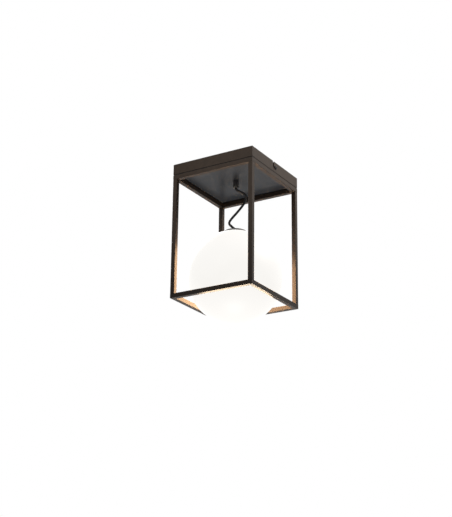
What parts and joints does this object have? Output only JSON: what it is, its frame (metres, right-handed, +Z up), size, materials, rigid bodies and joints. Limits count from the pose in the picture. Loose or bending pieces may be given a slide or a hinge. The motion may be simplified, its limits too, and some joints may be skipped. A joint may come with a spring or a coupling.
{
  "type": "ceiling light",
  "caption": "Square porch ceiling light: a canopy, an open frame of square tube and an opal globe that rests in the bottom ring, fed by a slack flex.",
  "frame": {"origin": "middle of the ceiling face, at the centre of the bracket's two fixing slots", "axes": "+Z up into the ceiling, the light hangs towards -Z, the bracket strap runs along X"},
  "size_m": [0.249, 0.249, 0.4249],
  "materials": {
    "bronze_paint": "satin powder coat, dark bronze",
    "plate_paint": "satin powder coat, dark grey",
    "black_steel": "black zinc plated",
    "zinc_steel": "zinc plated",
    "seal_rubber": "matte",
    "flex_rubber": "matte",
    "black_plastic": "moulded, matte",
    "block_plastic": "moulded, natural",
    "brass": "turned",
    "opal": "opal, satin, lit from inside",
    "lamp_opal": "opal dome",
    "lamp_white": "white moulding",
    "nickel": "nickel plated"
  },
  "bodies": {
    "frame": {"canopy": "bronze_paint", "top_rail_front": "bronze_paint", "top_rail_right": "bronze_paint", "top_rail_back": "bronze_paint", "top_rail_left": "bronze_paint", "post_front_right": "bronze_paint", "post_back_right": "bronze_paint", "post_back_left": "bronze_paint", "post_front_left": "bronze_paint", "bottom_rail_front": "bronze_paint", "bottom_rail_right": "bronze_paint", "bottom_rail_back": "bronze_paint", "bottom_rail_left": "bronze_paint", "base_plate": "plate_paint", "ceiling_bracket": "black_steel", "canopy_screws": "black_steel", "frame_screws": "zinc_steel", "post_plugs": "zinc_steel", "frame_gasket": "seal_rubber", "flex": "flex_rubber", "flex_tail": "flex_rubber", "cord_grip": "black_plastic", "grip_nut": "black_plastic", "grip_screw": "black_plastic", "terminal_block": "block_plastic", "terminal_screws": "brass", "earth_screw": "brass"},
    "globe": {"globe": "opal", "neck_ring": "black_plastic", "lid_seal": "seal_rubber"},
    "lid": {"lid": "black_plastic", "lid_grommet": "seal_rubber", "flex_lower_end": "flex_rubber", "lampholder": "black_plastic", "holder_screws": "zinc_steel", "centre_contact": "brass", "lamp_cap": "nickel", "lamp_housing": "lamp_white", "lamp_dome": "lamp_opal"}
  },
  "joints": [
    {"name": "globe_lift", "type": "slide", "parent": "frame", "child": "globe", "axis": [0, 0, 1], "range_m": [0, 0.04], "deforming": ["flex"]},
    {"name": "lid_turn", "type": "hinge", "parent": "globe", "child": "lid", "pos_m": [0, 0, -0.178], "axis": [0, 0, 1], "range_deg": [0, 40]}
  ]
}
